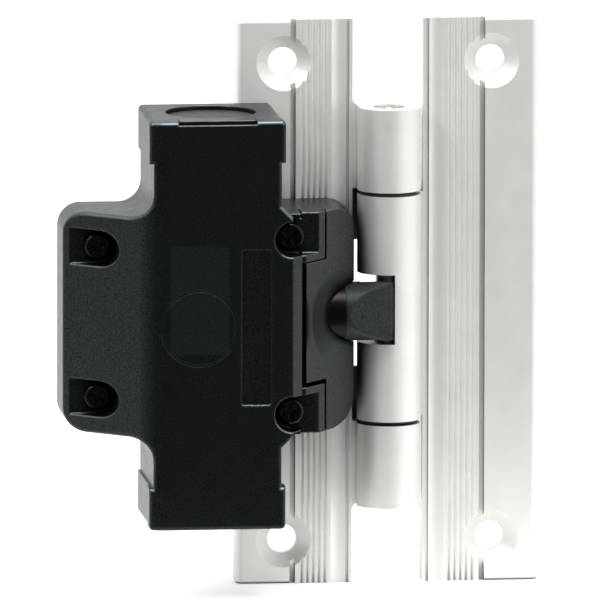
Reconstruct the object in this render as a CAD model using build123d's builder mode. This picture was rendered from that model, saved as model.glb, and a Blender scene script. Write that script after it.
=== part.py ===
"""Safety hinge switch: an aluminium leaf hinge with a plastic position switch on its fixed leaf.

X runs from the fixed leaf to the door leaf, +Z is up and the front faces -Y.
The origin is midway between the fixed leaf's two mounting holes, on its back face.
Depths in front of the back face are positive numbers, so a depth d lies at y = -d.
"""
from build123d import *
from math import cos, pi, sin, sqrt
import os

os.makedirs("parts", exist_ok=True)

# Leaves
leaf_height = 125.3
leaf_thickness = 5.0
leaf_outer_margin = 10.6
inner_margin = 15.15
hole_end_margin = 9.65
hole_radius = 3.2
countersink_radius = 6.1
countersink_angle = 90
corner_radius = 0.8
edge_round = 1.7
deep_groove_place = 12.6
deep_groove_width = 1.2
deep_groove_depth = 1.1
groove_count = 5
groove_start = 14.7
groove_pitch = 1.27
groove_width = 0.9
dip_place = 22.9
dip_width = 3.6
dip_depth = 0.45
lip_groove_width = 0.6
lip_groove_depth = 0.5

# Hinge
axis_x = 22.95
axis_depth = 7.5
barrel_radius = 7.0
barrel_length = 88.4
barrel_drop = 0.7
middle_length = 49.95
knuckle_gap = 0.9
running_gap = 0.3
web_floor = 0.5
neck_round = 1.6
lip_thickness = 1.4
lip_reach = 2.7
window_height = 28.2
pin_radius = 3.0
pin_head_radius = 3.45
pin_head_length = 9.0
pin_head_teeth = 24
pin_tooth_depth = 0.2
pin_sink = 0.4
pin_fit = 0.04
bush_radius = 4.4
bush_length = 8.0
bush_flange_radius = 6.2
bush_flange_thickness = 0.5
fixed_fit = 0.02

# Notch in the middle barrel and the cam in it
notch_height = 15.4
notch_face = 0.6
cam_height = 9.5
cam_lift_per_radian = 2.0
cam_start_lift = 4.1
cam_steps = 12
cam_bore_gap = 0.2
dowel_radius = 1.0
dowel_in_barrel = 2.7
dowel_in_cam = 1.9
dowel_depth_offset = 5.0

# Housing
housing_back = leaf_thickness
block_drop = 0.85
wing_drop = 1.37
block_centre = -17.6
block_width = 28.2
block_height = 90.4
ear_overhang = 0.9
ear_height = 9.4
parting_depth = 28.0
cover_front = 33.0
wing_height = 48.8
wing_left = -50.1
wing_right = 14.4
left_slope_start = -32.1
left_edge_depth = 17.0
ridge_x = 2.1
ridge_depth = 30.0
right_edge_depth = 15.0
cover_skin = 4.0
wing_corner = 5.0
inner_corner = 5.0
lower_right_corner = 6.5
ear_corner = 1.0
wall = 3.5
back_wall = 3.0
entry_floor = 12.0
base_ear_overhang = 0.5
cover_blend = 9.0
cover_round = 0.9
base_round = 0.4
pocket_round = 0.4
edge_break = 0.6

# Cover ears, slit and screw pockets
cover_right = 1.2
cover_front_right = -1.1
bevel_low = 30.5
inner_slant = 2.4
ear_reach = 6.9
ear_band = 10.56
tongue_height = 26.4
tongue_drop = 1.0
side_gap = 0.3
ear_floor = 20.0
slit_depth = 4.0
pocket_radius = 3.9
right_screw_x = cover_front_right
right_screw_spacing = 38.7
right_pocket_floor = 26.0
pocket_open = 9.0
boss_wall = 0.6
boss_skin = 2.0
boss_gap = 0.15
left_screw_x = -42.6
left_screw_spacing = 33.3
left_pocket_floor = 18.2
screw_head_radius = 3.0
screw_head_height = 2.2
screw_shank_radius = 1.5
screw_length = 11.0
screw_hole_radius = 1.7
cross_width = 1.1
cross_length = 3.9
cross_depth = 1.3
right_recess_turns = (45, 12)
left_recess_turns = (30, 60)

# Cover front
panel_width = 6.6
panel_height = 34.5
panel_x = -9.1
panel_depth = 0.4
ring_radius = 8.4
ring_x = -21.7
ring_groove = 0.25
ring_depth = 0.2

# Cable entry
entry_radius = 10.0
entry_depth = 17.6
entry_hole_depth = 9.0
entry_passage_radius = 8.0
plug_sink = 1.0
plug_thickness = 2.4
plug_gap = 0.1
plug_wall = 1.6
entry_boss_width = 17.0
entry_boss_front = 31.3
entry_boss_rise = 2.5
entry_boss_gap = 0.15
entry_step = 0.8

# Dish round the plunger
dish_rim_radius = 8.6
dish_depth = 1.0
dish_x = 8.9
entry_ring_radius = 0.9

# Plunger
plunger_depth = 14.5
plunger_radius = 6.5
guide_gap = 0.3
shank_back = 1.0
head_start = 12.1
stem_radius = 2.4
stem_end = -22.6
tip_gap = 0.15
tip_edge = 1.4
bevel_start = 12.9
foot_height = 7.4
foot_low = 1.7
foot_high = 2.5
hood_gap = 0.3
flat_round = 0.5
spigot_radius = 3.0
spigot_length = 3.0
seal_section = 0.9
seal_gap = 0.25
seal_x = 3.9
spring_radius = 4.3
spring_wire = 0.35
spring_turns = 5
spring_end_gap = 0.05

# Contact block
block_face_x = -8.1
block_back_x = -27.1
contact_block_front = 21.0
contact_block_height = 30.0
chamber_height = 20.0
chamber_back_x = -25.1
chamber_front_x = -11.1
chamber_floor = 9.8
stem_hole_gap = 0.3
bridge_thickness = 1.2
bridge_length = 16.0
bridge_width = 6.6
contact_gap = 0.1
contact_thickness = 1.0
contact_inner = 5.0
contact_low = 12.0
tab_thickness = 0.8
tab_length = 8.0
terminal_radius = 2.1
terminal_head_height = 1.6
terminal_shank_radius = 1.2
terminal_shank_length = 5.0
clamp_size = 4.2
clamp_thickness = 0.8

# Gasket and fixing screws
gasket_width = 1.0
gasket_thickness = 1.0
gasket_inset = 0.3
fixing_screw_x = -7.1
fixing_spacing = 30.0
fixing_radius = 1.75
fixing_head_radius = 3.3
fixing_length = 7.2

# Places worked out from the sizes above
hole_spacing = leaf_height - 2 * hole_end_margin
door_hole_x = 2 * axis_x
door_inner_x = door_hole_x - inner_margin
door_outer_x = door_hole_x + leaf_outer_margin
leaf_width = leaf_outer_margin + inner_margin
barrel_top = barrel_length / 2 - barrel_drop
barrel_bottom = -barrel_length / 2 - barrel_drop
middle_top = middle_length / 2 - barrel_drop
middle_bottom = -middle_length / 2 - barrel_drop
upper_knuckle_bottom = middle_top + knuckle_gap
lower_knuckle_top = middle_bottom - knuckle_gap
nose_z = -barrel_drop
block_z = -block_drop
wing_z = -wing_drop
right_slope = (ridge_depth - right_edge_depth) / (wing_right - ridge_x)
left_slope = (cover_front - left_edge_depth) / (left_slope_start - wing_left)
block_left = block_centre - block_width / 2
block_right = block_centre + block_width / 2
housing_top = block_z + block_height / 2
housing_bottom = block_z - block_height / 2
cavity_left = block_left + wall
cavity_right = block_right - wall
cavity_top = housing_top - entry_floor
cavity_bottom = housing_bottom + wall
foot_face_x = axis_x - cam_start_lift - running_gap
shoulder_x = axis_x - barrel_radius - running_gap
bore_radius = plunger_radius + guide_gap


def front_plane(depth, x=0.0, z=0.0):
    """Plane that faces the viewer at a depth in front of the back face, +X to its right."""
    return Plane(origin=(x, -depth, z), x_dir=(1, 0, 0), z_dir=(0, -1, 0))


def side_plane(x):
    """Plane across the plunger's axis: its first axis is Y and its second is Z."""
    return Plane(origin=(x, -plunger_depth, nose_z), x_dir=(0, 1, 0), z_dir=(1, 0, 0))


def leaf_profile(outer_x, inner_x):
    """Section of one extruded leaf, with its ribbed band beside the hinge."""
    inward = 1 if inner_x > outer_x else -1
    middle = (outer_x + inner_x) / 2
    front = -leaf_thickness
    dip_radius = (dip_width ** 2 / 4 + dip_depth ** 2) / (2 * dip_depth)
    with BuildSketch() as profile:
        with Locations((middle, front / 2)):
            Rectangle(leaf_width, leaf_thickness)
        outer_front = profile.vertices().group_by(Axis.Y)[0].sort_by(Axis.X)[0 if inward > 0 else -1]
        fillet(outer_front, edge_round)
        deep_x = outer_x + inward * deep_groove_place
        with Locations((deep_x, front)):
            Rectangle(deep_groove_width, 2 * deep_groove_depth, mode=Mode.SUBTRACT)
        for index in range(groove_count):
            groove_x = outer_x + inward * (groove_start + index * groove_pitch)
            with Locations((groove_x, front)):
                Rectangle(groove_width / sqrt(2), groove_width / sqrt(2), rotation=45, mode=Mode.SUBTRACT)
        with Locations((outer_x + inward * dip_place, front - dip_radius + dip_depth)):
            Circle(dip_radius, mode=Mode.SUBTRACT)
        with Locations((outer_x + inward * (dip_place + dip_width / 2), front)):
            Rectangle(lip_groove_width, 2 * lip_groove_depth, mode=Mode.SUBTRACT)
    return profile.sketch


def knuckle_profile(leaf_edge_x, radius):
    """Section of the hinge barrel with the web that joins it to a leaf."""
    web_length = abs(axis_x - leaf_edge_x)
    with BuildSketch() as profile:
        with Locations(((axis_x + leaf_edge_x) / 2, -(web_floor + leaf_thickness) / 2)):
            Rectangle(web_length, leaf_thickness - web_floor)
        with Locations((axis_x, -axis_depth)):
            Circle(radius)
    return profile.sketch


# Fixed leaf: plate, two end knuckles and the lip behind the middle barrel
with BuildPart() as fixed_leaf:
    with BuildSketch(Plane.XY.offset(-leaf_height / 2)):
        add(leaf_profile(-leaf_outer_margin, inner_margin))
    extrude(amount=leaf_height)
    fillet(fixed_leaf.edges().filter_by(Axis.Y).group_by(Axis.X)[0], corner_radius)
    with Locations(front_plane(leaf_thickness)):
        with GridLocations(0, hole_spacing, 1, 2):
            CounterSinkHole(hole_radius, countersink_radius, counter_sink_angle=countersink_angle)
    lip_right = inner_margin + lip_reach
    with BuildSketch(Plane.XY.offset(lower_knuckle_top)):
        with Locations(((inner_margin + lip_right) / 2, -lip_thickness / 2)):
            Rectangle(lip_reach, lip_thickness)
    extrude(amount=upper_knuckle_bottom - lower_knuckle_top)
    with BuildSketch(front_plane(0, lip_right, block_z)):
        Rectangle(2 * lip_reach, window_height)
    extrude(amount=lip_thickness, mode=Mode.SUBTRACT)
    for bottom, top in ((upper_knuckle_bottom, barrel_top), (barrel_bottom, lower_knuckle_top)):
        with BuildSketch(Plane.XY.offset(bottom)):
            add(knuckle_profile(inner_margin, barrel_radius))
        extrude(amount=top - bottom)
    neck_edges = fixed_leaf.edges().filter_by(Axis.Y).filter_by_position(
        Axis.X, inner_margin - 0.01, inner_margin + 0.01)
    outer_necks = [edge for edge in neck_edges if barrel_bottom - 0.1 < edge.center().Z < barrel_bottom + 0.1
                   or barrel_top - 0.1 < edge.center().Z < barrel_top + 0.1]
    fillet(outer_necks, neck_round)
    with BuildSketch(Plane.XY.offset(barrel_bottom)):
        with Locations((axis_x, -axis_depth)):
            Circle(pin_radius + fixed_fit)
    extrude(amount=barrel_length, mode=Mode.SUBTRACT)
    with BuildSketch(Plane.XY.offset(barrel_top - pin_head_length)):
        with Locations((axis_x, -axis_depth)):
            Circle(pin_head_radius + fixed_fit)
    extrude(amount=pin_head_length, mode=Mode.SUBTRACT)
    with Locations(Plane(origin=(fixing_screw_x, 0, block_z), x_dir=(1, 0, 0), z_dir=(0, 1, 0))):
        with GridLocations(0, fixing_spacing, 1, 2):
            CounterSinkHole(fixing_radius + fixed_fit, fixing_head_radius,
                            counter_sink_angle=countersink_angle)
fixed_leaf.part.label = "fixed_leaf"
export_step(fixed_leaf.part, "parts/fixed_leaf.step")

# Door leaf: plate and the middle barrel, milled flat where the switch nose enters it
with BuildPart() as door_leaf:
    with BuildSketch(Plane.XY.offset(-leaf_height / 2)):
        add(leaf_profile(door_outer_x, door_inner_x))
    extrude(amount=leaf_height)
    fillet(door_leaf.edges().filter_by(Axis.Y).group_by(Axis.X)[-1], corner_radius)
    with Locations(front_plane(leaf_thickness, door_hole_x)):
        with GridLocations(0, hole_spacing, 1, 2):
            CounterSinkHole(hole_radius, countersink_radius, counter_sink_angle=countersink_angle)
    with BuildSketch(Plane.XY.offset(middle_bottom)):
        add(knuckle_profile(door_inner_x, barrel_radius))
    extrude(amount=middle_length)
    with BuildSketch(Plane.XY.offset(middle_bottom)):
        with Locations((axis_x, -axis_depth)):
            Circle(pin_radius + running_gap)
    extrude(amount=middle_length, mode=Mode.SUBTRACT)
    for bottom in (middle_bottom, middle_top - bush_length):
        with BuildSketch(Plane.XY.offset(bottom)):
            with Locations((axis_x, -axis_depth)):
                Circle(bush_radius + fixed_fit)
        extrude(amount=bush_length, mode=Mode.SUBTRACT)
    notch_left = axis_x - 2 * barrel_radius
    notch_right = axis_x + notch_face
    with BuildSketch(front_plane(0, (notch_left + notch_right) / 2, nose_z)):
        Rectangle(notch_right - notch_left, notch_height)
    extrude(amount=axis_depth + 2 * barrel_radius, mode=Mode.SUBTRACT)
    with BuildSketch(Plane(origin=(notch_right, 0, nose_z), x_dir=(0, 1, 0), z_dir=(1, 0, 0))):
        with Locations((-axis_depth - dowel_depth_offset, 0)):
            Circle(dowel_radius + fixed_fit)
    extrude(amount=dowel_in_barrel, mode=Mode.SUBTRACT)
door_leaf.part.label = "door_leaf"
export_step(door_leaf.part, "parts/door_leaf.step")

# Hinge pin: plain shaft with a serrated head pressed into the upper knuckle
with BuildPart() as hinge_pin:
    with BuildSketch(Plane.XY.offset(barrel_bottom + pin_sink)):
        with Locations((axis_x, -axis_depth)):
            Circle(pin_radius)
    extrude(amount=barrel_length - 2 * pin_sink)
    with BuildSketch(Plane.XY.offset(barrel_top - pin_head_length + pin_sink)):
        with Locations((axis_x, -axis_depth)):
            Circle(pin_head_radius)
            with PolarLocations(pin_head_radius, pin_head_teeth):
                Circle(pin_tooth_depth, mode=Mode.SUBTRACT)
    extrude(amount=pin_head_length - 2 * pin_sink)
    with Locations(Plane.XY.offset(barrel_top - pin_sink)):
        with Locations((axis_x, -axis_depth)):
            CounterSinkHole(pin_radius * 0.3, pin_radius * 0.55, depth=pin_radius * 0.6)
hinge_pin.part.label = "hinge_pin"
export_step(hinge_pin.part, "parts/hinge_pin.step")


def flanged_bush(face_z, inward):
    """Bush that sits in one end of the middle barrel, its flange in the gap between the knuckles."""
    with BuildPart() as bush:
        with BuildSketch(Plane.XY.offset(face_z)):
            with Locations((axis_x, -axis_depth)):
                Circle(bush_radius)
        extrude(amount=inward * bush_length)
        with BuildSketch(Plane.XY.offset(face_z)):
            with Locations((axis_x, -axis_depth)):
                Circle(bush_flange_radius)
        extrude(amount=-inward * bush_flange_thickness)
        with BuildSketch(Plane.XY.offset(face_z - inward * bush_flange_thickness)):
            with Locations((axis_x, -axis_depth)):
                Circle(pin_radius + pin_fit)
        extrude(amount=inward * (bush_length + bush_flange_thickness), mode=Mode.SUBTRACT)
    return bush.part


upper_bush = flanged_bush(middle_top, -1)
upper_bush.label = "upper_bush"
export_step(upper_bush, "parts/upper_bush.step")

lower_bush = flanged_bush(middle_bottom, 1)
lower_bush.label = "lower_bush"
export_step(lower_bush, "parts/lower_bush.step")


def cam_point(step):
    """Point of the involute flank, which lifts a flat follower evenly with the door's angle."""
    turn = step / cam_steps * (pi / 2)
    lift = cam_start_lift + cam_lift_per_radian * turn
    angle = pi - turn
    along = lift * cos(angle) + cam_lift_per_radian * sin(angle)
    across = lift * sin(angle) - cam_lift_per_radian * cos(angle)
    return along, across


# Switch cam: insert on the flat of the notch, round the pin, that pushes the plunger back
flank = [cam_point(step) for step in range(cam_steps + 1)]
flank = [point for point in flank if point[0] < notch_face]
with BuildPart() as switch_cam:
    with BuildSketch(Plane.XY.offset(nose_z - cam_height / 2)):
        with BuildLine():
            curve = Spline([(axis_x + along, -axis_depth - across) for along, across in flank])
            top_point = (axis_x + notch_face, (curve @ 1).Y)
            Line(curve @ 1, top_point)
            low_point = (axis_x + notch_face, -axis_depth + cam_start_lift)
            Line(top_point, low_point)
            Line(low_point, (axis_x, -axis_depth + cam_start_lift))
            RadiusArc((axis_x, -axis_depth + cam_start_lift), (axis_x - cam_start_lift, -axis_depth),
                      -cam_start_lift)
            Line((axis_x - cam_start_lift, -axis_depth), curve @ 0)
        make_face()
        with Locations((axis_x, -axis_depth)):
            Circle(pin_radius + cam_bore_gap, mode=Mode.SUBTRACT)
    extrude(amount=cam_height)
    with BuildSketch(Plane(origin=(axis_x + notch_face, 0, nose_z), x_dir=(0, 1, 0), z_dir=(-1, 0, 0))):
        with Locations((-axis_depth - dowel_depth_offset, 0)):
            Circle(dowel_radius + fixed_fit)
    extrude(amount=dowel_in_cam, mode=Mode.SUBTRACT)
switch_cam.part.label = "switch_cam"
export_step(switch_cam.part, "parts/switch_cam.step")


# Values shared by the housing's two shells
parting_left = left_slope_start - (cover_front - cover_skin - parting_depth) / left_slope
flank_at_ear = ridge_depth - right_slope * (ear_reach - ridge_x)
boss_radius = pocket_radius + boss_wall
screw_rows = (
    (right_screw_x, right_screw_spacing, right_pocket_floor, 1),
    (left_screw_x, left_screw_spacing, left_pocket_floor, -1),
)
boss_bottom = cavity_top + entry_boss_rise
cavity_x = (cavity_left + cavity_right) / 2
cavity_z = (cavity_top + cavity_bottom) / 2
cavity_width = cavity_right - cavity_left
cavity_height = cavity_top - cavity_bottom
ear_centre_offset = (block_height - ear_height) / 2


def corners_at(sketch, x):
    """Corners of an outline at one x."""
    return sketch.vertices().filter_by_position(Axis.X, x - 0.01, x + 0.01)


def section(points):
    """Flat section across the housing from (x, depth) pairs."""
    with BuildSketch() as shape:
        with BuildLine():
            Polyline([(x, -depth) for x, depth in points], close=True)
        make_face()
    return shape.sketch


def housing_outline(overhang, left, right):
    """Front outline of the housing: upright block with ears at both ends, and the wings."""
    with BuildSketch() as outline:
        with Locations((block_centre, block_z)):
            Rectangle(block_width, block_height)
        with Locations(((left + right) / 2, wing_z)):
            Rectangle(right - left, wing_height)
        fillet(corners_at(outline, block_left).filter_by_position(
            Axis.Y, wing_z - wing_height / 2 - 0.01, wing_z + wing_height / 2 + 0.01), inner_corner)
        right_corners = corners_at(outline, block_right).filter_by_position(
            Axis.Y, wing_z - wing_height / 2 - 0.01, wing_z + wing_height / 2 + 0.01)
        chamfer(right_corners, inner_slant)
        fillet(corners_at(outline, left), wing_corner)
        with Locations((block_centre, block_z)):
            with GridLocations(0, 2 * ear_centre_offset, 1, 2):
                Rectangle(block_width + 2 * overhang, ear_height)
        for side_x in (block_left - overhang, block_right + overhang):
            ear_corners = corners_at(outline, side_x).sort_by(Axis.Y)
            fillet([ear_corners[0], ear_corners[-1]], ear_corner)
    return outline.sketch


# Housing base: rear shell with the cable entry, the plunger's guide and the sloping flank
with BuildPart() as housing_base:
    with BuildSketch(front_plane(housing_back)) as base_face:
        add(housing_outline(base_ear_overhang, wing_left, wing_right))
        flank_corners = corners_at(base_face, wing_right).sort_by(Axis.Y)
        fillet(flank_corners[-1], wing_corner)
        fillet(corners_at(base_face, wing_right).sort_by(Axis.Y)[0], lower_right_corner)
    extrude(amount=ridge_depth - housing_back)
    with BuildSketch(Plane.XY.offset(housing_bottom)):
        add(section([
            (wing_left, housing_back),
            (wing_left, left_edge_depth - cover_skin),
            (parting_left, parting_depth),
            (ridge_x, parting_depth),
            (ridge_x, ridge_depth),
            (wing_right, right_edge_depth),
            (wing_right, housing_back),
        ]))
    extrude(amount=block_height, mode=Mode.INTERSECT)
    front_right = Vector(right_slope, -1, 0).normalized()
    flank_face = housing_base.faces().filter_by(GeomType.PLANE).sort_by(
        lambda face: (face.normal_at() - front_right).length)[0]
    fillet([edge for edge in flank_face.edges() if edge.center().X > ridge_x + 0.1], base_round)
    with BuildSketch(front_plane(parting_depth, block_centre, (boss_bottom + housing_top) / 2)):
        Rectangle(entry_boss_width, housing_top - boss_bottom)
    extrude(amount=entry_boss_front - parting_depth)
    with BuildSketch(front_plane(housing_back + back_wall, cavity_x, cavity_z)):
        Rectangle(cavity_width, cavity_height)
    extrude(amount=parting_depth - housing_back - back_wall, mode=Mode.SUBTRACT)
    with BuildSketch(front_plane(parting_depth, cavity_x, cavity_z)):
        gasket_outer = gasket_inset + gasket_width
        Rectangle(cavity_width + 2 * gasket_outer, cavity_height + 2 * gasket_outer)
        Rectangle(cavity_width + 2 * gasket_inset, cavity_height + 2 * gasket_inset, mode=Mode.SUBTRACT)
    extrude(amount=-gasket_thickness, mode=Mode.SUBTRACT)
    with BuildSketch(Plane.XY.offset(housing_top)):
        with Locations((block_centre, -entry_depth)):
            Circle(entry_radius)
    extrude(amount=-entry_hole_depth, mode=Mode.SUBTRACT)
    with BuildSketch(Plane.XY.offset(housing_top)):
        with Locations((block_centre, -entry_depth)):
            Circle(entry_passage_radius)
    extrude(amount=-entry_floor, mode=Mode.SUBTRACT)
    dish_sphere = (dish_rim_radius ** 2 + dish_depth ** 2) / (2 * dish_depth)
    dish_foot = front_plane(ridge_depth - right_slope * (dish_x - ridge_x), dish_x, nose_z)
    with Locations(dish_foot.origin + front_right * (dish_sphere - dish_depth)):
        Sphere(dish_sphere, mode=Mode.SUBTRACT)
    with BuildSketch(side_plane(cavity_right)):
        Circle(bore_radius)
    extrude(amount=wing_right - cavity_right, mode=Mode.SUBTRACT)
    with BuildSketch(side_plane(seal_x - seal_section)):
        Circle(plunger_radius + seal_gap + 2 * seal_section)
    extrude(amount=2 * seal_section, mode=Mode.SUBTRACT)
    slit_width = ridge_x - cover_right
    with BuildSketch(front_plane(parting_depth - slit_depth, cover_right + slit_width / 2, -tongue_drop)):
        Rectangle(slit_width, tongue_height)
    extrude(amount=slit_depth + ridge_depth, mode=Mode.SUBTRACT)
    recess_width = ear_reach + side_gap - cover_right
    recess_height = wing_height / 2
    with BuildSketch(front_plane(ear_floor, cover_right + recess_width / 2, -tongue_drop)):
        with GridLocations(0, tongue_height + recess_height, 1, 2):
            Rectangle(recess_width, recess_height)
    extrude(amount=ridge_depth, mode=Mode.SUBTRACT)
    for screw_x, spacing, floor, side in screw_rows:
        with BuildSketch(front_plane(floor - boss_skin, screw_x, wing_z)):
            with GridLocations(0, spacing, 1, 2):
                Circle(boss_radius + boss_gap)
        extrude(amount=parting_depth, mode=Mode.SUBTRACT)
        with BuildSketch(front_plane(floor - screw_length, screw_x, wing_z)):
            with GridLocations(0, spacing, 1, 2):
                Circle(screw_shank_radius + fixed_fit)
        extrude(amount=screw_length, mode=Mode.SUBTRACT)
    with BuildSketch(front_plane(housing_back, fixing_screw_x, block_z)):
        with GridLocations(0, fixing_spacing, 1, 2):
            Circle(fixing_radius + fixed_fit)
    extrude(amount=fixing_length - leaf_thickness, mode=Mode.SUBTRACT)
housing_base.part.label = "housing_base"
export_step(housing_base.part, "parts/housing_base.step")

# Blank of the cover's screw ears, which follow the base's sloping flank
with BuildPart() as ear_blank:
    with BuildSketch(front_plane(ear_floor, (cover_front_right + ear_reach) / 2, wing_z)):
        with GridLocations(0, wing_height - ear_band, 1, 2):
            Rectangle(ear_reach - cover_front_right, ear_band)
    extrude(amount=ridge_depth - ear_floor)
    with BuildSketch(Plane.XY.offset(housing_bottom)):
        add(section([
            (cover_front_right, parting_depth),
            (cover_right + side_gap, parting_depth),
            (cover_right + side_gap, ear_floor),
            (ear_reach, ear_floor),
            (ear_reach, flank_at_ear),
            (ridge_x, ridge_depth),
            (cover_front_right, ridge_depth),
        ]))
    extrude(amount=block_height, mode=Mode.INTERSECT)

# Blank of the cover's screw bosses, cut off level with its front
with BuildPart() as boss_blank:
    for screw_x, spacing, floor, side in screw_rows:
        with BuildSketch(front_plane(floor - boss_skin, screw_x, wing_z)):
            with GridLocations(0, spacing, 1, 2):
                Circle(boss_radius)
        extrude(amount=cover_front - floor + boss_skin)
    with BuildSketch(Plane.XY.offset(housing_bottom)):
        add(section([
            (wing_left, housing_back),
            (wing_left, left_edge_depth),
            (left_slope_start, cover_front),
            (cover_front_right, cover_front),
            (cover_right, bevel_low),
            (ridge_x, ridge_depth),
            (wing_right, right_edge_depth),
            (wing_right, housing_back),
        ]))
    extrude(amount=block_height, mode=Mode.INTERSECT)

# Housing cover: front shell that runs over the left wing, held by four screws in sunk pockets
with BuildPart() as housing_cover:
    with BuildSketch(front_plane(left_edge_depth - cover_skin)):
        add(housing_outline(ear_overhang, wing_left, cover_right))
    extrude(amount=cover_front - left_edge_depth + cover_skin)
    with BuildSketch(Plane.XY.offset(housing_bottom)) as cover_section:
        add(section([
            (wing_left, left_edge_depth - cover_skin),
            (parting_left, parting_depth),
            (cover_right, parting_depth),
            (cover_right, bevel_low),
            (cover_front_right, cover_front),
            (left_slope_start, cover_front),
            (wing_left, left_edge_depth),
        ]))
        fillet(corners_at(cover_section, left_slope_start), cover_blend)
    extrude(amount=block_height, mode=Mode.INTERSECT)
    add(boss_blank.part)
    front_faces = [face for face in housing_cover.faces() if face.normal_at().Y < -0.3]
    front_edges = [edge for face in front_faces for edge in face.edges()]
    rim_edges = [edge for edge in front_edges if sum(edge.is_same(other) for other in front_edges) == 1]
    rim_edges = [edge for edge in rim_edges if edge.center().X < cover_front_right - 0.1]
    fillet(rim_edges, cover_round)
    add(ear_blank.part)
    for screw_x, spacing, floor, side in screw_rows:
        with BuildSketch(front_plane(floor - boss_skin, screw_x, wing_z)):
            with GridLocations(0, spacing, 1, 2):
                Circle(screw_hole_radius)
        extrude(amount=boss_skin, mode=Mode.SUBTRACT)
        with BuildSketch(front_plane(floor, screw_x, wing_z)):
            with GridLocations(0, spacing, 1, 2):
                Circle(pocket_radius)
                with Locations((side * pocket_open / 2, 0)):
                    Rectangle(pocket_open, 2 * pocket_radius)
        extrude(amount=cover_front, mode=Mode.SUBTRACT)
    left_arc_x = left_screw_x + pocket_radius
    arcs = housing_cover.edges().filter_by(GeomType.ELLIPSE)
    fillet([edge for edge in arcs if abs(edge.center().X - left_arc_x) < 0.1], pocket_round)
    with BuildSketch(front_plane(right_pocket_floor, right_screw_x + pocket_open / 2, wing_z)):
        with GridLocations(0, (wing_height + right_screw_spacing) / 2, 1, 2):
            Rectangle(pocket_open, (wing_height - right_screw_spacing) / 2)
    extrude(amount=cover_front, mode=Mode.SUBTRACT)
    rim_x = right_screw_x - pocket_radius
    rim_y = pocket_round - cover_front
    for screw_z in (wing_z - right_screw_spacing / 2, wing_z + right_screw_spacing / 2):
        with BuildSketch(Plane.XY.offset(screw_z)):
            with Locations((rim_x - pocket_round / 2, rim_y - pocket_round / 2)):
                Rectangle(pocket_round, pocket_round)
            with Locations((rim_x - pocket_round, rim_y)):
                Circle(pocket_round, mode=Mode.SUBTRACT)
        revolve(axis=Axis((right_screw_x, 0, screw_z), (0, 1, 0)), mode=Mode.SUBTRACT)
    entry_notch_height = housing_top - boss_bottom + entry_boss_gap
    with BuildSketch(front_plane(parting_depth, block_centre, housing_top - entry_notch_height / 2)):
        Rectangle(entry_boss_width + 2 * entry_boss_gap, entry_notch_height)
    extrude(amount=entry_boss_front - parting_depth + entry_boss_gap, mode=Mode.SUBTRACT)
    with BuildSketch(front_plane(parting_depth, block_centre, housing_top)):
        Rectangle(entry_boss_width + 2 * entry_boss_gap, 2 * entry_step)
    extrude(amount=cover_front - parting_depth, mode=Mode.SUBTRACT)
    with BuildSketch(front_plane(cover_front, panel_x, wing_z)):
        RectangleRounded(panel_width, panel_height, edge_break)
    extrude(amount=-panel_depth, mode=Mode.SUBTRACT)
    with BuildSketch(front_plane(cover_front, ring_x, wing_z)):
        Circle(ring_radius)
        Circle(ring_radius - ring_groove, mode=Mode.SUBTRACT)
    extrude(amount=-ring_depth, mode=Mode.SUBTRACT)
housing_cover.part.label = "housing_cover"
export_step(housing_cover.part, "parts/housing_cover.step")

# Gasket in the groove between the shells
with BuildPart() as cover_gasket:
    with BuildSketch(front_plane(parting_depth - gasket_thickness, cavity_x, cavity_z)):
        Rectangle(cavity_width + 2 * gasket_outer, cavity_height + 2 * gasket_outer)
        Rectangle(cavity_width + 2 * gasket_inset, cavity_height + 2 * gasket_inset, mode=Mode.SUBTRACT)
    extrude(amount=gasket_thickness)
cover_gasket.part.label = "cover_gasket"
export_step(cover_gasket.part, "parts/cover_gasket.step")


def cover_screws(screw_x, spacing, floor, turns):
    """Pair of pan-head cross-recess screws whose heads rest on the pocket floors."""
    with BuildPart() as pair:
        with BuildSketch(front_plane(floor, screw_x, wing_z)):
            with GridLocations(0, spacing, 1, 2):
                Circle(screw_head_radius)
        extrude(amount=screw_head_height)
        fillet(pair.faces().sort_by(Axis.Y)[:2].edges(), screw_head_height / 3)
        with BuildSketch(front_plane(floor, screw_x, wing_z)):
            with GridLocations(0, spacing, 1, 2):
                Circle(screw_shank_radius)
        extrude(amount=-screw_length)
        with BuildSketch(front_plane(floor + screw_head_height, screw_x, wing_z)):
            for offset, turn in zip((spacing / 2, -spacing / 2), turns):
                with Locations((0, offset)):
                    Rectangle(cross_length, cross_width, rotation=turn)
                    Rectangle(cross_width, cross_length, rotation=turn)
        extrude(amount=-cross_depth, mode=Mode.SUBTRACT)
    return pair.part


right_cover_screws = cover_screws(right_screw_x, right_screw_spacing, right_pocket_floor, right_recess_turns)
right_cover_screws.label = "right_cover_screws"
export_step(right_cover_screws, "parts/right_cover_screws.step")

left_cover_screws = cover_screws(left_screw_x, left_screw_spacing, left_pocket_floor, left_recess_turns)
left_cover_screws.label = "left_cover_screws"
export_step(left_cover_screws, "parts/left_cover_screws.step")

# Blanking plug in the cable entry and the sealing ring under it
plug_top = housing_top - plug_sink
seal_top = housing_top - entry_hole_depth + 2 * entry_ring_radius
with BuildPart() as entry_plug:
    with BuildSketch(Plane.XY.offset(seal_top)):
        with Locations((block_centre, -entry_depth)):
            Circle(entry_radius - plug_gap)
    extrude(amount=plug_top - seal_top)
    with BuildSketch(Plane.XY.offset(seal_top)):
        with Locations((block_centre, -entry_depth)):
            Circle(entry_radius - plug_gap - plug_wall)
    extrude(amount=plug_top - plug_thickness - seal_top, mode=Mode.SUBTRACT)
entry_plug.part.label = "entry_plug"
export_step(entry_plug.part, "parts/entry_plug.step")

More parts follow.
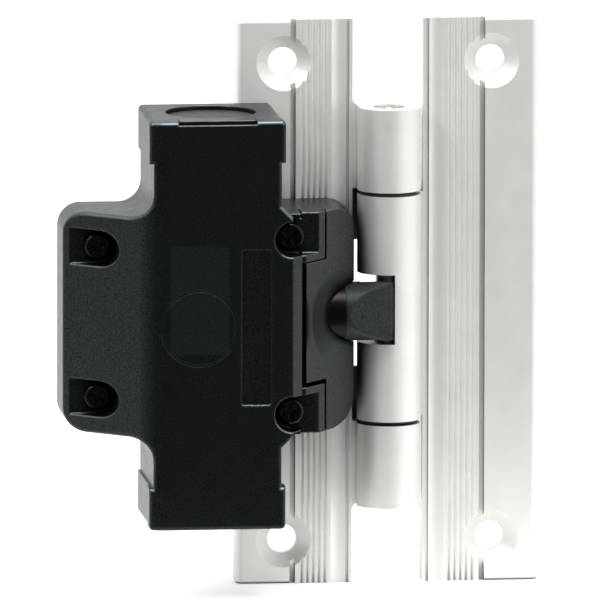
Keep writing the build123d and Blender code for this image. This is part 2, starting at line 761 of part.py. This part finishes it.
with BuildPart() as entry_seal:
    ring_middle = (entry_radius - plug_gap + entry_passage_radius) / 2
    with BuildSketch(Plane.XZ.offset(entry_depth)):
        with Locations((block_centre + ring_middle, seal_top - entry_ring_radius)):
            Circle(entry_ring_radius)
    revolve(axis=Axis((block_centre, -entry_depth, 0), (0, 0, 1)))
entry_seal.part.label = "entry_seal"
export_step(entry_seal.part, "parts/entry_seal.step")

# Plunger: round shank in the base's guide, with a stem behind and a spigot for the head in front
with BuildPart() as plunger:
    with BuildSketch(side_plane(shank_back)):
        Circle(plunger_radius)
    extrude(amount=head_start - shank_back)
    with BuildSketch(side_plane(stem_end)):
        Circle(stem_radius)
    extrude(amount=shank_back - stem_end)
    with BuildSketch(side_plane(head_start)):
        Circle(spigot_radius)
    extrude(amount=spigot_length)
plunger.part.label = "plunger"
export_step(plunger.part, "parts/plunger.step")

# Plunger head: round nose with a slanted flat, a hood over the notch and a foot on the cam
tip_x = axis_x - tip_gap
hood_back = axis_depth + barrel_radius + hood_gap
head_front = plunger_depth + plunger_radius
with BuildPart() as plunger_head:
    with BuildSketch(side_plane(head_start)):
        Circle(plunger_radius)
    extrude(amount=tip_x - head_start)
    with BuildSketch(Plane.XY.offset(nose_z - plunger_radius)):
        add(section([
            (shoulder_x, 0),
            (shoulder_x, hood_back),
            (tip_x, hood_back),
            (tip_x, 0),
        ]))
        add(section([
            (bevel_start, head_front),
            (tip_x, hood_back + tip_edge),
            (tip_x, head_front + tip_edge),
            (bevel_start, head_front + tip_edge),
        ]))
    extrude(amount=2 * plunger_radius, mode=Mode.SUBTRACT)
    nose_flat = plunger_head.faces().filter_by(GeomType.PLANE).sort_by(Axis.Y)[0]
    fillet(nose_flat.edges(), flat_round)
    with BuildSketch(Plane.XY.offset(nose_z - foot_height / 2)):
        add(section([
            (head_start + spigot_length, axis_depth + foot_low),
            (foot_face_x, axis_depth + foot_low),
            (foot_face_x, axis_depth + foot_high),
            (head_start + spigot_length, axis_depth + foot_high),
        ]))
    extrude(amount=foot_height)
    with BuildSketch(side_plane(head_start)):
        Circle(spigot_radius + fixed_fit)
    extrude(amount=spigot_length, mode=Mode.SUBTRACT)
plunger_head.part.label = "plunger_head"
export_step(plunger_head.part, "parts/plunger_head.step")

with BuildPart() as plunger_seal:
    with BuildSketch(Plane.XY.offset(nose_z)):
        with Locations((seal_x, -plunger_depth + plunger_radius + seal_gap + seal_section)):
            Circle(seal_section)
    revolve(axis=Axis((0, -plunger_depth, nose_z), (1, 0, 0)))
plunger_seal.part.label = "plunger_seal"
export_step(plunger_seal.part, "parts/plunger_seal.step")

# Return spring round the stem, between the contact block and the shank
spring_start = block_face_x + spring_wire + spring_end_gap
spring_length = shank_back - spring_wire - spring_end_gap - spring_start
with BuildPart() as plunger_spring:
    with BuildLine() as coil:
        Helix(spring_length / spring_turns, spring_length, spring_radius,
              center=(spring_start, -plunger_depth, nose_z), direction=(1, 0, 0))
    with BuildSketch(Plane(origin=coil.line @ 0, z_dir=coil.line % 0)):
        Circle(spring_wire)
    sweep(is_frenet=True)
plunger_spring.part.label = "plunger_spring"
export_step(plunger_spring.part, "parts/plunger_spring.step")

# Contact block in the base, with a chamber that the bridge moves in
block_length = block_face_x - block_back_x
chamber_x = (chamber_back_x + chamber_front_x) / 2
with BuildPart() as contact_block:
    block_floor = housing_back + back_wall
    with BuildSketch(front_plane(block_floor, (block_face_x + block_back_x) / 2, nose_z)):
        Rectangle(block_length, contact_block_height)
    extrude(amount=contact_block_front - block_floor)
    with BuildSketch(front_plane(chamber_floor, chamber_x, nose_z)):
        Rectangle(chamber_front_x - chamber_back_x, chamber_height)
    extrude(amount=contact_block_front - chamber_floor, mode=Mode.SUBTRACT)
    with BuildSketch(side_plane(block_back_x)):
        Circle(stem_radius + stem_hole_gap)
    extrude(amount=block_length, mode=Mode.SUBTRACT)
    terminal_x = chamber_front_x - tab_length + terminal_radius + tab_thickness
    terminal_offset = (chamber_height + contact_block_height) / 2
    with BuildSketch(front_plane(contact_block_front, terminal_x, nose_z)):
        with GridLocations(0, terminal_offset, 1, 2):
            Circle(terminal_shank_radius + fixed_fit)
    extrude(amount=-terminal_shank_length, mode=Mode.SUBTRACT)
contact_block.part.label = "contact_block"
export_step(contact_block.part, "parts/contact_block.step")

# Fixed contacts: blades in the chamber, each with a tab under its terminal screw
tab_height = (contact_block_height - chamber_height) / 2
tab_centre = terminal_offset / 2
with BuildPart() as fixed_contacts:
    blade_length = chamber_height / 2 - contact_inner
    with BuildSketch(front_plane(contact_low, chamber_front_x - contact_thickness / 2, nose_z)):
        with GridLocations(0, chamber_height - blade_length, 1, 2):
            Rectangle(contact_thickness, blade_length)
    extrude(amount=contact_block_front + tab_thickness - contact_low)
    tab_x = chamber_front_x - tab_length / 2
    with BuildSketch(front_plane(contact_block_front, tab_x, nose_z)):
        with GridLocations(0, 2 * tab_centre, 1, 2):
            Rectangle(tab_length, tab_height)
        with Locations((tab_length / 2 - contact_thickness / 2, 0)):
            with GridLocations(0, chamber_height, 1, 2):
                Rectangle(contact_thickness, 1)
        with Locations((terminal_x - tab_x, 0)):
            with GridLocations(0, terminal_offset, 1, 2):
                Circle(terminal_shank_radius + fixed_fit, mode=Mode.SUBTRACT)
    extrude(amount=tab_thickness)
fixed_contacts.part.label = "fixed_contacts"
export_step(fixed_contacts.part, "parts/fixed_contacts.step")

# Contact bridge on the plunger's stem
bridge_front_x = chamber_front_x - contact_thickness - contact_gap
with BuildPart() as contact_bridge:
    with BuildSketch(side_plane(bridge_front_x)):
        Rectangle(bridge_width, bridge_length)
        Circle(stem_radius + fixed_fit, mode=Mode.SUBTRACT)
    extrude(amount=-bridge_thickness)
contact_bridge.part.label = "contact_bridge"
export_step(contact_bridge.part, "parts/contact_bridge.step")

# Wire clamps and terminal screws on the tabs
clamp_depth = contact_block_front + tab_thickness
with BuildPart() as terminal_clamps:
    with BuildSketch(front_plane(clamp_depth, terminal_x, nose_z)):
        with GridLocations(0, terminal_offset, 1, 2):
            Rectangle(clamp_size, clamp_size)
            Circle(terminal_shank_radius + fixed_fit, mode=Mode.SUBTRACT)
    extrude(amount=clamp_thickness)
terminal_clamps.part.label = "terminal_clamps"
export_step(terminal_clamps.part, "parts/terminal_clamps.step")

with BuildPart() as terminal_screws:
    head_depth = clamp_depth + clamp_thickness
    with BuildSketch(front_plane(head_depth, terminal_x, nose_z)):
        with GridLocations(0, terminal_offset, 1, 2):
            Circle(terminal_radius)
    extrude(amount=terminal_head_height)
    with BuildSketch(front_plane(head_depth, terminal_x, nose_z)):
        with GridLocations(0, terminal_offset, 1, 2):
            Circle(terminal_shank_radius)
    extrude(amount=-(terminal_shank_length + tab_thickness + clamp_thickness))
    with BuildSketch(front_plane(head_depth + terminal_head_height, terminal_x, nose_z)):
        with GridLocations(0, terminal_offset, 1, 2):
            Rectangle(1.6 * terminal_radius, cross_width)
    extrude(amount=-terminal_head_height / 2, mode=Mode.SUBTRACT)
terminal_screws.part.label = "terminal_screws"
export_step(terminal_screws.part, "parts/terminal_screws.step")

# Countersunk screws from behind the leaf into the base
with BuildPart() as fixing_screws:
    back_plane = Plane(origin=(fixing_screw_x, 0, block_z), x_dir=(1, 0, 0), z_dir=(0, -1, 0))
    head_height = fixing_head_radius - fixing_radius
    with BuildSketch(back_plane):
        with GridLocations(0, fixing_spacing, 1, 2):
            Circle(fixing_radius)
    extrude(amount=fixing_length)
    with Locations(back_plane):
        with GridLocations(0, fixing_spacing, 1, 2):
            Cone(fixing_head_radius - fixed_fit, fixing_radius, head_height,
                 align=(Align.CENTER, Align.CENTER, Align.MIN))
    with BuildSketch(back_plane):
        with GridLocations(0, fixing_spacing, 1, 2):
            Rectangle(cross_length, cross_width)
            Rectangle(cross_width, cross_length)
    extrude(amount=cross_depth, mode=Mode.SUBTRACT)
fixing_screws.part.label = "fixing_screws"
export_step(fixing_screws.part, "parts/fixing_screws.step")

# Dowel between the cam and the flat of the notch
with BuildPart() as cam_dowel:
    cam_end = Plane(origin=(notch_right - dowel_in_cam, -axis_depth - dowel_depth_offset, nose_z),
                    x_dir=(0, 1, 0), z_dir=(1, 0, 0))
    with BuildSketch(cam_end):
        Circle(dowel_radius)
    extrude(amount=dowel_in_cam + dowel_in_barrel)
cam_dowel.part.label = "cam_dowel"
export_step(cam_dowel.part, "parts/cam_dowel.step")
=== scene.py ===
"""Safety hinge switch: finishes, a bare label plate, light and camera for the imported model."""

import math

import bpy
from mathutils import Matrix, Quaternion, Vector


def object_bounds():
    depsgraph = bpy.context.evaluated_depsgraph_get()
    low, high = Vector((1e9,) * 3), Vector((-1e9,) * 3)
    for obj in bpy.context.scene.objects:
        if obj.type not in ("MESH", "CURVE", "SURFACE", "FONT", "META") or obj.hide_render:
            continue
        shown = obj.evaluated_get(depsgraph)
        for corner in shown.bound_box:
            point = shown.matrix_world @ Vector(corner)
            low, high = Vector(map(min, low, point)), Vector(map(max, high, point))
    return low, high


MM = 0.001

# Sizes of the patterns in the materials
PLASTIC_PATCH = 9 * MM
METAL_PATCH = 6 * MM
GLOSS_PATCH = 2.5 * MM
GLEAM_GRAIN = 0.30 * MM

# How far the painted shade in pockets and gaps looks, and how much open air it takes to be deep or open
POCKET_REACH, POCKET_DEEP, POCKET_OPEN = 5 * MM, 0.15, 0.62
GAP_REACH, GAP_DEEP, GAP_OPEN = 9 * MM, 0.10, 0.50
# The colour of the painted shade in the gaps of metal
GAP_PAINTED_SHADE = (0.012, 0.012, 0.011)

# The housing's finish: share of the gloss left in pockets as painted shade, gloss of roundings that look up
# as a painted highlight, and a cool sheen
POCKET_PAINTED_SHADE_GLOSS = 0.10
PAINTED_HIGHLIGHT_GLOSS = 2.2
COOL_SHEEN = (0.80, 0.95, 1.0, 1.0)

# Everything further forward than this is the cover's front, and its marks lie in the area given here
FRONT_LIMIT = -32.6 * MM
MARKS_MIDDLE, MARKS_SIZE, MARKS_CORNER = (-17 * MM, -1 * MM), (27 * MM, 40 * MM), 1.0 * MM
PLATE_LIP = 0.3 * MM

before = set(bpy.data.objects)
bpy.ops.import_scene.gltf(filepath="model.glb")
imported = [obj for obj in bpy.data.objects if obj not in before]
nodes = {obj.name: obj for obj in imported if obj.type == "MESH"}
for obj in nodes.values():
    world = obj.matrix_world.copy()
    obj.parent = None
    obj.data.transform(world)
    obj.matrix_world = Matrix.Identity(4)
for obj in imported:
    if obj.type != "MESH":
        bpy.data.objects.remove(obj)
cad_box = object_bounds()


# Helpers for the materials

def new_material(name, metallic=0.0, roughness=0.5, specular=0.5):
    """A material with one principled shader, and the values that are the same all over it."""
    material = bpy.data.materials.new(name)
    material.use_nodes = True
    shader = material.node_tree.nodes["Principled BSDF"]
    shader.inputs["Metallic"].default_value = metallic
    shader.inputs["Roughness"].default_value = roughness
    shader.inputs["Specular IOR Level"].default_value = specular
    return material, material.node_tree, shader


def joined(tree, operation, first, second):
    """A Math node of the operation on two linked values."""
    step = tree.nodes.new("ShaderNodeMath")
    step.operation = operation
    tree.links.new(first, step.inputs[0])
    tree.links.new(second, step.inputs[1])
    return step.outputs["Value"]


def faded(tree, share, first, second):
    """The first, linked value where the share is 0, and the second, fixed one where it is 1."""
    mix = tree.nodes.new("ShaderNodeMix")
    mix.inputs["B"].default_value = second
    tree.links.new(share, mix.inputs["Factor"])
    tree.links.new(first, mix.inputs["A"])
    return mix.outputs["Result"]


def noise(tree, size, detail=2.0):
    """Noise with blotches of about size metres, fixed to the piece."""
    place = tree.nodes.new("ShaderNodeTexCoord")
    scale = tree.nodes.new("ShaderNodeMapping")
    scale.inputs["Scale"].default_value = [1.0 / size] * 3
    texture = tree.nodes.new("ShaderNodeTexNoise")
    texture.inputs["Scale"].default_value = 1.0
    texture.inputs["Detail"].default_value = detail
    tree.links.new(place.outputs["Object"], scale.inputs["Vector"])
    tree.links.new(scale.outputs["Vector"], texture.inputs["Vector"])
    return texture.outputs["Fac"]


def between(tree, value, low, high, start=0.3, stop=0.7):
    """The value, which runs from start to stop, carried over to low to high."""
    span = tree.nodes.new("ShaderNodeMapRange")
    span.inputs["From Min"].default_value = start
    span.inputs["From Max"].default_value = stop
    span.inputs["To Min"].default_value = low
    span.inputs["To Max"].default_value = high
    tree.links.new(value, span.inputs["Value"])
    return span.outputs["Result"]


def shades(tree, value, dark, light, start=0.3, stop=0.7):
    """A colour from dark to light as the value goes from start to stop."""
    ramp = tree.nodes.new("ShaderNodeValToRGB")
    ramp.color_ramp.elements[0].position = start
    ramp.color_ramp.elements[0].color = (*dark, 1.0)
    ramp.color_ramp.elements[1].position = stop
    ramp.color_ramp.elements[1].color = (*light, 1.0)
    tree.links.new(value, ramp.inputs["Fac"])
    return ramp.outputs["Color"]


def soft_edges(tree, radius, blend=None):
    """Surface direction with the sharp edges rounded off by radius metres.

    The blend is a round place with softer edges: (centre, inner radius, outer radius, edge radius).
    """
    bevel = tree.nodes.new("ShaderNodeBevel")
    bevel.samples = 6
    bevel.inputs["Radius"].default_value = radius
    if blend:
        centre, inner, outer, softer = blend
        place = tree.nodes.new("ShaderNodeTexCoord")
        away = tree.nodes.new("ShaderNodeVectorMath")
        away.operation = "DISTANCE"
        away.inputs[1].default_value = centre
        tree.links.new(place.outputs["Object"], away.inputs[0])
        wide = between(tree, away.outputs["Value"], softer, radius, inner, outer)
        tree.links.new(wide, bevel.inputs["Radius"])
    return bevel.outputs["Normal"]


def hollow(tree, reach, deep, open_air):
    """1 in the depth of gaps and pockets and 0 on open faces, judged over reach metres; it places painted
    shade.
    """
    occlusion = tree.nodes.new("ShaderNodeAmbientOcclusion")
    occlusion.samples = 8
    occlusion.inputs["Distance"].default_value = reach
    return between(tree, occlusion.outputs["AO"], 1.0, 0.0, deep, open_air)


def relief(tree, shader, height, depth, under=None):
    """Raises the surface by depth metres where height is 1, on top of the directions in under."""
    bump = tree.nodes.new("ShaderNodeBump")
    bump.inputs["Distance"].default_value = depth
    tree.links.new(height, bump.inputs["Height"])
    if under:
        tree.links.new(under, bump.inputs["Normal"])
    tree.links.new(bump.outputs["Normal"], shader.inputs["Normal"])


def plate_mask(tree, centre, size, corner):
    """1 on an upright plate with round corners on the cover's front, 0 off it, with a soft lip."""
    place = tree.nodes.new("ShaderNodeTexCoord")
    steps = []
    for operation, other in (("SUBTRACT", (centre[0], 0.0, centre[1])),
                             ("ABSOLUTE", None),
                             ("SUBTRACT", (size[0] / 2 - corner, 1.0, size[1] / 2 - corner)),
                             ("MAXIMUM", (0.0, 0.0, 0.0)),
                             ("LENGTH", None)):
        step = tree.nodes.new("ShaderNodeVectorMath")
        step.operation = operation
        if other:
            step.inputs[1].default_value = other
        tree.links.new(steps[-1].outputs["Vector"] if steps else place.outputs["Object"], step.inputs[0])
        steps.append(step)
    inside = between(tree, steps[-1].outputs["Value"], 1.0, 0.0, corner - PLATE_LIP, corner)
    depth = tree.nodes.new("ShaderNodeSeparateXYZ")
    tree.links.new(place.outputs["Object"], depth.inputs["Vector"])
    front = tree.nodes.new("ShaderNodeMath")
    front.operation = "LESS_THAN"
    front.inputs[1].default_value = FRONT_LIMIT
    tree.links.new(depth.outputs["Y"], front.inputs[0])
    return joined(tree, "MULTIPLY", inside, front.outputs["Value"])


def front_and_up(tree, direction):
    """0 on faces that look straight ahead or straight up, and 1 on the roundings between them; it places a
    painted highlight.
    """
    parts = tree.nodes.new("ShaderNodeSeparateXYZ")
    tree.links.new(direction, parts.inputs["Vector"])
    product = joined(tree, "MULTIPLY", parts.outputs["Y"], parts.outputs["Z"])
    return between(tree, product, 0.0, 1.0, -0.06, -0.42)


def mixed(tree, value, first, second):
    """The first colour where the value is 0 and the second where it is 1."""
    mix = tree.nodes.new("ShaderNodeMix")
    mix.data_type = "RGBA"
    tree.links.new(value, mix.inputs["Factor"])
    tree.links.new(first, mix.inputs["A"])
    mix.inputs["B"].default_value = (*second, 1.0)
    return mix.outputs["Result"]


def moulded(name, dark, light, roughness, specular, grain_size, grain_depth, edge=0.0, blend=None, plate=None,
            painted_highlight=PAINTED_HIGHLIGHT_GLOSS):
    """Moulded plastic: a fine eroded grain, a slow change of shade and a slightly uneven gloss.

    With an edge radius it also has soft edges, a grain that shows, painted shade that dulls the gloss in
    pockets
    and a painted highlight on the roundings that look forward and up. The plate is a bare plate on the front:
    (centre, size, corner, colour). The painted_highlight is the gloss of that painted highlight.
    """
    material, tree, shader = new_material(name, specular=specular)
    colour = shades(tree, noise(tree, PLASTIC_PATCH), dark, light)
    if plate:
        centre, size, corner, tint = plate
        colour = mixed(tree, plate_mask(tree, centre, size, corner), colour, tint)
    tree.links.new(colour, shader.inputs["Base Color"])
    direction = soft_edges(tree, edge, blend) if edge else None
    if edge:
        gleam = between(tree, noise(tree, GLEAM_GRAIN, detail=1.0), 0.5 * specular, 1.5 * specular)
        # Painted shade: the gloss drops in pockets and gaps.
        closed = hollow(tree, POCKET_REACH, POCKET_DEEP, POCKET_OPEN)
        gleam_in_painted_shade = faded(tree, closed, gleam, POCKET_PAINTED_SHADE_GLOSS * specular)
        # Painted highlight: more gloss on roundings that look forward and up, as if lit from above.
        rounding = front_and_up(tree, direction)
        if plate:
            # The marks on the cover's front get no painted highlight.
            marks = plate_mask(tree, MARKS_MIDDLE, MARKS_SIZE, MARKS_CORNER)
            rounding = joined(tree, "SUBTRACT", rounding, marks)
            rounding.node.use_clamp = True
        tree.links.new(faded(tree, rounding, gleam_in_painted_shade, painted_highlight), shader.inputs["Specular IOR Level"])
        shader.inputs["Specular Tint"].default_value = COOL_SHEEN
    gloss = between(tree, noise(tree, GLOSS_PATCH, detail=4.0), *roughness)
    tree.links.new(gloss, shader.inputs["Roughness"])
    relief(tree, shader, noise(tree, grain_size, detail=3.0), grain_depth, direction)
    return material


def metal(name, dark, light, roughness, grain_size, grain_depth, metallic=1.0, edge=0.0):
    """Metal with a fine surface; below a metallic of 1 it has a dull oxide layer, and painted shade darkens
    its gaps.
    """
    material, tree, shader = new_material(name, metallic=metallic)
    colour = shades(tree, noise(tree, METAL_PATCH, detail=3.0), dark, light)
    if metallic < 1.0:
        # Painted shade: the colour turns dark in gaps and deep places, where shade falls.
        colour = mixed(tree, hollow(tree, GAP_REACH, GAP_DEEP, GAP_OPEN), colour, GAP_PAINTED_SHADE)
    tree.links.new(colour, shader.inputs["Base Color"])
    grain = noise(tree, grain_size, detail=3.0)
    tree.links.new(between(tree, grain, *roughness), shader.inputs["Roughness"])
    relief(tree, shader, grain, grain_depth, soft_edges(tree, edge) if edge else None)
    return material


# Materials

# The leaves get painted shade in their gaps, since their metallic is below 1.
anodised = metal("anodised_aluminium", (0.82, 0.82, 0.79), (0.86, 0.86, 0.83), (0.44, 0.54),
                 0.12 * MM, 0.006 * MM, metallic=0.62)
pin_steel = metal("pin_steel", (0.50, 0.49, 0.46), (0.60, 0.59, 0.55), (0.25, 0.38), 0.15 * MM, 0.006 * MM)
zinc_steel = metal("zinc_steel", (0.55, 0.56, 0.58), (0.66, 0.67, 0.68), (0.25, 0.40), 0.20 * MM, 0.006 * MM)
spring_steel = metal("spring_steel", (0.45, 0.44, 0.42), (0.55, 0.54, 0.52), (0.22, 0.32),
                     0.15 * MM, 0.004 * MM)
contact_brass = metal("contact_brass", (0.62, 0.42, 0.16), (0.72, 0.52, 0.22), (0.22, 0.34),
                      0.20 * MM, 0.006 * MM)
dark_screw = metal("dark_screw", (0.012, 0.012, 0.012), (0.022, 0.021, 0.020), (0.20, 0.30),
                   0.18 * MM, 0.008 * MM, edge=0.22 * MM)

plunger_dish = ((8.9 * MM, -21.7 * MM, -0.7 * MM), 9.5 * MM, 12 * MM, 2.2 * MM)
label_plate = ((-21.55 * MM, 4.8 * MM), (13.1 * MM, 24.4 * MM), 0.8 * MM, (0.0050, 0.0070, 0.0080))
black_housing = moulded("black_housing", (0.0012, 0.0016, 0.0019), (0.0024, 0.0030, 0.0034), (0.31, 0.37),
                        0.30, 0.30 * MM, 0.050 * MM, 0.45 * MM, blend=plunger_dish)
cover_plastic = moulded("cover_plastic", (0.0012, 0.0015, 0.0018), (0.0024, 0.0028, 0.0031), (0.31, 0.37),
                        0.30, 0.30 * MM, 0.050 * MM, 0.55 * MM, plate=label_plate)
head_plastic = moulded("head_plastic", (0.0070, 0.0082, 0.0078), (0.0110, 0.0122, 0.0118), (0.40, 0.50), 0.34,
                       0.12 * MM, 0.012 * MM, 0.35 * MM, painted_highlight=0.30)
glossy_black = moulded("glossy_black", (0.0010, 0.0010, 0.0012), (0.0020, 0.0020, 0.0022), (0.22, 0.30), 0.14,
                       0.6 * MM, 0.002 * MM)
bearing_plastic = moulded("bearing_plastic", (0.030, 0.026, 0.018), (0.048, 0.042, 0.030), (0.42, 0.55), 0.40,
                          0.15 * MM, 0.010 * MM)
cam_plastic = moulded("cam_plastic", (0.020, 0.021, 0.021), (0.030, 0.031, 0.031), (0.35, 0.45), 0.40,
                      0.15 * MM, 0.010 * MM)
plug_plastic = moulded("plug_plastic", (0.040, 0.041, 0.040), (0.052, 0.053, 0.051), (0.44, 0.56), 0.24,
                       0.15 * MM, 0.012 * MM)
seal_rubber = moulded("seal_rubber", (0.010, 0.010, 0.010), (0.018, 0.018, 0.018), (0.62, 0.78), 0.30,
                      0.10 * MM, 0.010 * MM)
block_plastic = moulded("block_plastic", (0.62, 0.60, 0.52), (0.70, 0.68, 0.60), (0.40, 0.52), 0.40,
                        0.20 * MM, 0.012 * MM)

finishes = {
    anodised: ["fixed_leaf", "door_leaf"],
    pin_steel: ["hinge_pin"],
    bearing_plastic: ["upper_bush", "lower_bush"],
    cam_plastic: ["switch_cam"],
    black_housing: ["housing_base"],
    cover_plastic: ["housing_cover"],
    seal_rubber: ["cover_gasket", "entry_seal", "plunger_seal"],
    dark_screw: ["right_cover_screws", "left_cover_screws"],
    plug_plastic: ["entry_plug"],
    glossy_black: ["plunger"],
    head_plastic: ["plunger_head"],
    spring_steel: ["plunger_spring"],
    block_plastic: ["contact_block"],
    contact_brass: ["fixed_contacts", "contact_bridge", "terminal_clamps"],
    zinc_steel: ["terminal_screws", "fixing_screws", "cam_dowel"],
}
for material, names in finishes.items():
    for name in names:
        for slot in nodes[name].material_slots:
            slot.material = material


# Floor, light and camera

def white_behind(name, shade, shown):
    """A pale surface that the camera, metal and glass see as nearly white, and that still takes a shadow."""
    material, tree, shader = new_material(name, roughness=0.9, specular=0.0)
    shader.inputs["Base Color"].default_value = (shade, shade, shade, 1.0)
    shader.inputs["Emission Color"].default_value = (1.0, 1.0, 1.0, 1.0)
    rays = tree.nodes.new("ShaderNodeLightPath")
    seen = rays.outputs["Is Camera Ray"]
    for kind in ("Is Glossy Ray", "Is Transmission Ray"):
        seen = joined(tree, "MAXIMUM", seen, rays.outputs[kind])
    strength = tree.nodes.new("ShaderNodeMath")
    strength.operation = "MULTIPLY"
    strength.inputs[1].default_value = shown
    tree.links.new(seen, strength.inputs[0])
    tree.links.new(strength.outputs["Value"], shader.inputs["Emission Strength"])
    return material


def studio_sheet(name, corners, material):
    """A flat sheet of the studio, which isn't part of the object."""
    mesh = bpy.data.meshes.new(name)
    mesh.from_pydata(corners, [], [(0, 1, 2, 3)])
    mesh.materials.append(material)
    sheet = bpy.data.objects.new(name, mesh)
    bpy.context.scene.collection.objects.link(sheet)


def softbox(name, place, size, power, aim):
    """A square area lamp at place that looks at aim."""
    lamp = bpy.data.lights.new(name, "AREA")
    lamp.shape = "SQUARE"
    lamp.size = size
    lamp.energy = power
    piece = bpy.data.objects.new(name, lamp)
    piece.location = place
    piece.rotation_euler = (aim - Vector(place)).to_track_quat("-Z", "Y").to_euler()
    bpy.context.scene.collection.objects.link(piece)


lowest, highest = cad_box
middle = Vector([(low + high) / 2 for low, high in zip(lowest, highest)])
floor_z = lowest[2]
floor_front = -0.07
studio_half, studio_back, studio_top = 6, 12, 8
left, right = -studio_half, studio_half
studio_sheet("floor", [(left, floor_front, floor_z), (right, floor_front, floor_z),
                       (right, studio_back, floor_z), (left, studio_back, floor_z)],
             white_behind("studio_white", 0.80, 0.45))
studio_sheet("backdrop", [(left, studio_back, floor_z), (right, studio_back, floor_z),
                          (right, studio_back, studio_top), (left, studio_back, studio_top)],
             white_behind("backdrop_white", 0.80, 0.75))

softbox("right_box", (0.85, -0.80, 0.40), 1.0, 4.4, middle)
softbox("top_left_box", (-0.75, -0.50, 0.80), 0.45, 5.0, middle)
softbox("top_box", (0.10, -0.50, 1.15), 0.60, 9.5, middle)

# A pale tent all round, darker in front and a little brighter above. The camera sees it as white.
tent_light = 0.86
tent_dark = 0.16
tent_opening = math.radians(22)
tent_edge = math.radians(66)
tent_below, tent_above = 0.85, 1.12
world = bpy.data.worlds.new("studio")
world.use_nodes = True
tent = world.node_tree
around = tent.nodes.new("ShaderNodeTexCoord")
facing = tent.nodes.new("ShaderNodeVectorMath")
facing.operation = "DOT_PRODUCT"
facing.inputs[1].default_value = (0.0, -1.0, 0.0)
tent.links.new(around.outputs["Generated"], facing.inputs[0])
height = tent.nodes.new("ShaderNodeSeparateXYZ")
tent.links.new(around.outputs["Generated"], height.inputs["Vector"])
glow = between(tent, facing.outputs["Value"], tent_light, tent_dark,
               math.cos(tent_edge), math.cos(tent_opening))
lift = between(tent, height.outputs["Z"], tent_below, tent_above, -0.5, 0.9)
rays = tent.nodes.new("ShaderNodeLightPath")
strength = faded(tent, rays.outputs["Is Camera Ray"], joined(tent, "MULTIPLY", glow, lift), 1.0)
background = tent.nodes["Background"]
background.inputs["Color"].default_value = (1.0, 1.0, 1.0, 1.0)
tent.links.new(strength, background.inputs["Strength"])
bpy.context.scene.world = world

# The photograph was taken from a little above and to the left, from far off.
camera_azimuth = math.radians(-6.5)
camera_elevation = math.radians(8.6)
camera_distance = 6.0
camera_roll = math.radians(0.11)
view_width = 131.6 * MM
view_centre = Vector((2.24 * MM, -17.0 * MM, 2.27 * MM))

lens = bpy.data.cameras.new("photo_camera")
lens.sensor_width = 36.0
lens.lens = lens.sensor_width * camera_distance / view_width
lens.clip_start = 0.1
lens.clip_end = 50.0
camera = bpy.data.objects.new("photo_camera", lens)
towards = Vector((math.sin(camera_azimuth) * math.cos(camera_elevation),
                  -math.cos(camera_azimuth) * math.cos(camera_elevation),
                  math.sin(camera_elevation)))
camera.location = view_centre + camera_distance * towards
level = (-towards).to_track_quat("-Z", "Y")
camera.rotation_euler = (level @ Quaternion((0.0, 0.0, 1.0), camera_roll)).to_euler()
bpy.context.scene.collection.objects.link(camera)
bpy.context.scene.camera = camera
bpy.context.scene.view_settings.view_transform = "Standard"
